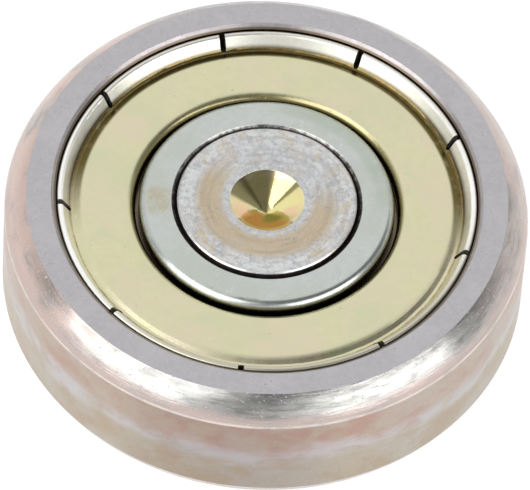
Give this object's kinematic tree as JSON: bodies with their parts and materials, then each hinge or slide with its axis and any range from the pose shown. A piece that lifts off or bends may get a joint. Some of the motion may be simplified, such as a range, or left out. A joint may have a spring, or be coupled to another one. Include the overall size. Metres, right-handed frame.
{
  "type": "track roller",
  "caption": "Plain cylindrical steel track roller on a solid axle pin, turning on a shielded ball bearing, with a centre dimple in front and a tapped clamping end behind.",
  "frame": {"origin": "centre of the axle pin's clamping face, on the spin axis, at the bottom of the part", "axes": "+Z along the spin axis, out of the front face with the centre dimple; +X and +Y are any two radial directions"},
  "size_m": [0.035, 0.035, 0.0113],
  "materials": {
    "ground_ring_steel": "ground faces with a faint pink and tan passivated tread",
    "inner_ring_steel": "fine ground, faint grey green",
    "pin_steel": "turned face with tan rings and a golden drilled dimple",
    "chromated_sheet": "pressed sheet, pale yellow olive zinc chromate",
    "cage_sheet": "pressed sheet, dull",
    "rivet_steel": "headed wire, dull",
    "ball_steel": "lapped and polished"
  },
  "bodies": {
    "axle": {"axle_pin": "pin_steel", "inner_ring": "inner_ring_steel"},
    "wheel": {"outer_ring": "ground_ring_steel", "front_shield": "chromated_sheet", "rear_shield": "chromated_sheet"},
    "cage": {"cage_front": "cage_sheet", "cage_rear": "cage_sheet", "cage_rivets": "rivet_steel"},
    "ball_1_body": {"ball_1": "ball_steel"},
    "ball_2_body": {"ball_2": "ball_steel"},
    "ball_3_body": {"ball_3": "ball_steel"},
    "ball_4_body": {"ball_4": "ball_steel"},
    "ball_5_body": {"ball_5": "ball_steel"},
    "ball_6_body": {"ball_6": "ball_steel"},
    "ball_7_body": {"ball_7": "ball_steel"}
  },
  "joints": [
    {"name": "wheel_spin", "type": "hinge", "parent": "axle", "child": "wheel", "pos_m": [0, 0, 0.0059], "axis": [0, 0, 1], "continuous": true},
    {"name": "cage_spin", "type": "hinge", "parent": "axle", "child": "cage", "pos_m": [0, 0, 0.0059], "axis": [0, 0, 1], "continuous": true},
    {"name": "ball_1_spin", "type": "hinge", "parent": "cage", "child": "ball_1_body", "pos_m": [0.00686, 0.0086, 0.0059], "axis": [0, 0, 1], "continuous": true},
    {"name": "ball_2_spin", "type": "hinge", "parent": "cage", "child": "ball_2_body", "pos_m": [-0.00245, 0.01072, 0.0059], "axis": [0, 0, 1], "continuous": true},
    {"name": "ball_3_spin", "type": "hinge", "parent": "cage", "child": "ball_3_body", "pos_m": [-0.00991, 0.00477, 0.0059], "axis": [0, 0, 1], "continuous": true},
    {"name": "ball_4_spin", "type": "hinge", "parent": "cage", "child": "ball_4_body", "pos_m": [-0.00991, -0.00477, 0.0059], "axis": [0, 0, 1], "continuous": true},
    {"name": "ball_5_spin", "type": "hinge", "parent": "cage", "child": "ball_5_body", "pos_m": [-0.00245, -0.01072, 0.0059], "axis": [0, 0, 1], "continuous": true},
    {"name": "ball_6_spin", "type": "hinge", "parent": "cage", "child": "ball_6_body", "pos_m": [0.00686, -0.0086, 0.0059], "axis": [0, 0, 1], "continuous": true},
    {"name": "ball_7_spin", "type": "hinge", "parent": "cage", "child": "ball_7_body", "pos_m": [0.011, 0, 0.0059], "axis": [0, 0, 1], "continuous": true}
  ],
  "couplings": [
    {"joint": "cage_spin", "follows": "wheel_spin", "ratio": 0.63523},
    {"joint": "ball_1_spin", "follows": "wheel_spin", "ratio": 1.7135},
    {"joint": "ball_2_spin", "follows": "wheel_spin", "ratio": 1.7135},
    {"joint": "ball_3_spin", "follows": "wheel_spin", "ratio": 1.7135},
    {"joint": "ball_4_spin", "follows": "wheel_spin", "ratio": 1.7135},
    {"joint": "ball_5_spin", "follows": "wheel_spin", "ratio": 1.7135},
    {"joint": "ball_6_spin", "follows": "wheel_spin", "ratio": 1.7135},
    {"joint": "ball_7_spin", "follows": "wheel_spin", "ratio": 1.7135}
  ]
}
